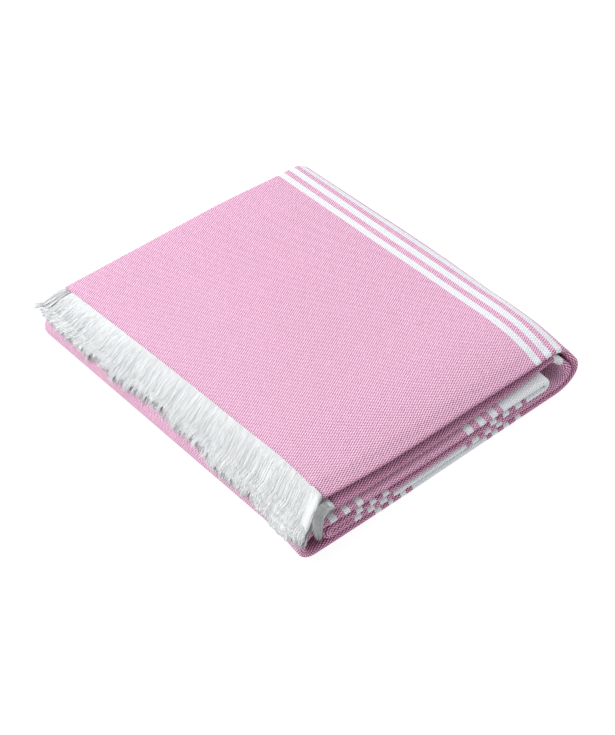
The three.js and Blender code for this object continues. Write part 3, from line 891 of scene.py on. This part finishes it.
class MakeBlanketCamera(bpy.types.Operator):
    """Adds the camera at the photograph's angle"""

    bl_idname = "blanket.make_camera"
    bl_label = "Make camera"

    def execute(self, context):
        studio = context.scene.blanket_studio
        data = bpy.data.cameras.new("Camera")
        data.sensor_width = 36
        data.sensor_height = 36
        data.lens = studio.lens
        data.clip_start = 0.05
        data.clip_end = 50
        camera = bpy.data.objects.new("Camera", data)
        context.collection.objects.link(camera)
        level = math.cos(studio.elevation)
        back = (
            math.sin(studio.azimuth) * level, -math.cos(studio.azimuth) * level, math.sin(studio.elevation))
        camera.location = [t + studio.distance * b for t, b in zip(studio.target, back)]
        camera.rotation_euler = (math.pi / 2 - studio.elevation, 0, studio.azimuth)
        context.scene.camera = camera
        return {"FINISHED"}


class MakeBlanketCloth(bpy.types.Operator):
    """Builds the folded cloth in place of its solid"""

    bl_idname = "blanket.make_cloth"
    bl_label = "Make cloth"

    def execute(self, context):
        cloth = context.scene.blanket_cloth
        section = width_section(cloth)
        route, white = length_route(cloth, LENGTH_STEP)
        verts, faces, whites, uvs = sweep_sheet(cloth, route, white, section)
        if volume(verts, faces) < 0:
            faces = faces[:, ::-1]
        spacing = cloth.twill_spacing / MM
        panel = float(across_distance(section)[-1]) / 4
        # The pink twill gets painted shade over the front folds; the white weft gets none
        pink = woven_material(
            "Pink twill", cloth.pink, cloth.deep_pink, spacing, PINK_CONTRAST, PINK_RELIEF, panel,
            cloth.painted_fold_shade)
        white_weft = woven_material(
            "White weft", cloth.white, cloth.grey, spacing, WHITE_CONTRAST, WHITE_RELIEF, panel, 0.0)
        obj = mesh_object("folded_cloth", verts, faces, (pink, white_weft), uvs, whites.astype(np.int32))
        if not 1.0 < route[-1, 4] < 2.5:
            raise RuntimeError("the cloth's length is out of range")
        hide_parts("cloth")
        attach(obj, "root")
        context.scene["blanket_flat"] = [float(across_distance(section)[-1]), float(route[-1, 4])]
        return {"FINISHED"}


class MakeBlanketFringes(bpy.types.Operator):
    bl_idname = "blanket.make_fringes"
    bl_label = "Make fringes"

    def execute(self, context):
        cloth = context.scene.blanket_cloth
        fringe = context.scene.blanket_fringe
        section = width_section(cloth)
        material = yarn_material(fringe)
        for name, replaced, end_x, layer, first, count, share, seed in (
            ("fringe_over", "fringe_upper", cloth.upper_end, 6, 4, fringe.upper_threads, 0.6, 1),
            ("fringe_under", "fringe_lower", cloth.lower_end, 5, 0, fringe.lower_threads, 0.2, 2),
        ):
            parts = [
                packed_yarn(cloth, fringe, section, end_x, layer, first, seed),
                loose_threads(cloth, fringe, section, end_x, layer, first, count, share, seed),
            ]
            if replaced == "fringe_lower":
                parts.append(corner_tuft(fringe, fringe.tuft_threads))
            verts, faces, uvs, drape = join_meshes(parts)
            obj = mesh_object(name, verts, faces, (material,), uvs, drape=drape)
            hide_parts(replaced)
            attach(obj, "root")
        return {"FINISHED"}


class MakeBlanketStudio(bpy.types.Operator):
    """Adds the floor, the soft lights and the even sky"""

    bl_idname = "blanket.make_studio"
    bl_label = "Make studio"

    def execute(self, context):
        studio = context.scene.blanket_studio
        mesh = bpy.data.meshes.new("floor")
        corners = [(x * FLOOR_REACH, y * FLOOR_REACH, 0) for x, y in ((-1, -1), (1, -1), (1, 1), (-1, 1))]
        mesh.from_pydata(corners, [], [(0, 1, 2, 3)])
        floor = bpy.data.objects.new("floor", mesh)
        floor.location.z = -FLOOR_GAP
        context.collection.objects.link(floor)
        material = bpy.data.materials.new("Pale floor")
        material.use_nodes = True
        shader = material.node_tree.nodes["Principled BSDF"]
        shader.inputs["Base Color"].default_value = (*studio.floor_colour, 1)
        shader.inputs["Roughness"].default_value = 0.9
        shader.inputs["Emission Color"].default_value = (1, 1, 1, 1)
        shader.inputs["Emission Strength"].default_value = studio.floor_glow
        mesh.materials.append(material)

        world = bpy.data.worlds.new("Studio sky")
        world.use_nodes = True
        world.node_tree.nodes["Background"].inputs["Color"].default_value = (1, 1, 1, 1)
        world.node_tree.nodes["Background"].inputs["Strength"].default_value = studio.sky
        context.scene.world = world

        for name, size, place in LIGHTS:
            power = getattr(studio, name.lower())
            light = bpy.data.lights.new(name, "AREA")
            light.size = size
            light.energy = power
            lamp = bpy.data.objects.new(name, light)
            lamp.location = place
            lamp.rotation_euler = Vector(place).to_track_quat("Z", "Y").to_euler()
            context.collection.objects.link(lamp)
        context.scene.view_settings.view_transform = "Standard"
        return {"FINISHED"}


class BlanketPanel(bpy.types.Panel):
    """The blanket's sizes, colours and steps"""

    bl_idname = "VIEW3D_PT_blanket"
    bl_label = "Folded blanket"
    bl_space_type = "VIEW_3D"
    bl_region_type = "UI"
    bl_category = "Blanket"

    def draw(self, context):
        for group, steps in PANEL_ROWS:
            settings = getattr(context.scene, group)
            box = self.layout.box()
            for name in settings.bl_rna.properties.keys():
                if name not in ("rna_type", "name"):
                    box.prop(settings, name)
            for step in steps:
                box.operator(step)


PANEL_ROWS = (
    ("blanket_cloth", ("blanket.make_cloth",)),
    ("blanket_fringe", ("blanket.make_fringes",)),
    ("blanket_studio", ("blanket.make_camera", "blanket.make_studio")),
)
GROUPS = {"blanket_cloth": BlanketCloth, "blanket_fringe": BlanketFringe, "blanket_studio": BlanketStudio}
CLASSES = (
    BlanketCloth, BlanketFringe, BlanketStudio, MakeBlanketCamera, MakeBlanketCloth, MakeBlanketFringes,
    MakeBlanketStudio, BlanketPanel,
)


def register():
    for item in CLASSES:
        bpy.utils.register_class(item)
    for name, group in GROUPS.items():
        setattr(bpy.types.Scene, name, bpy.props.PointerProperty(type=group))


def unregister():
    for name in GROUPS:
        delattr(bpy.types.Scene, name)
    for item in reversed(CLASSES):
        bpy.utils.unregister_class(item)


def main():
    register()
    bpy.ops.blanket.make_camera()
    bpy.ops.blanket.make_cloth()
    bpy.ops.blanket.make_fringes()
    bpy.ops.blanket.make_studio()


if __name__ == "__main__":
    main()
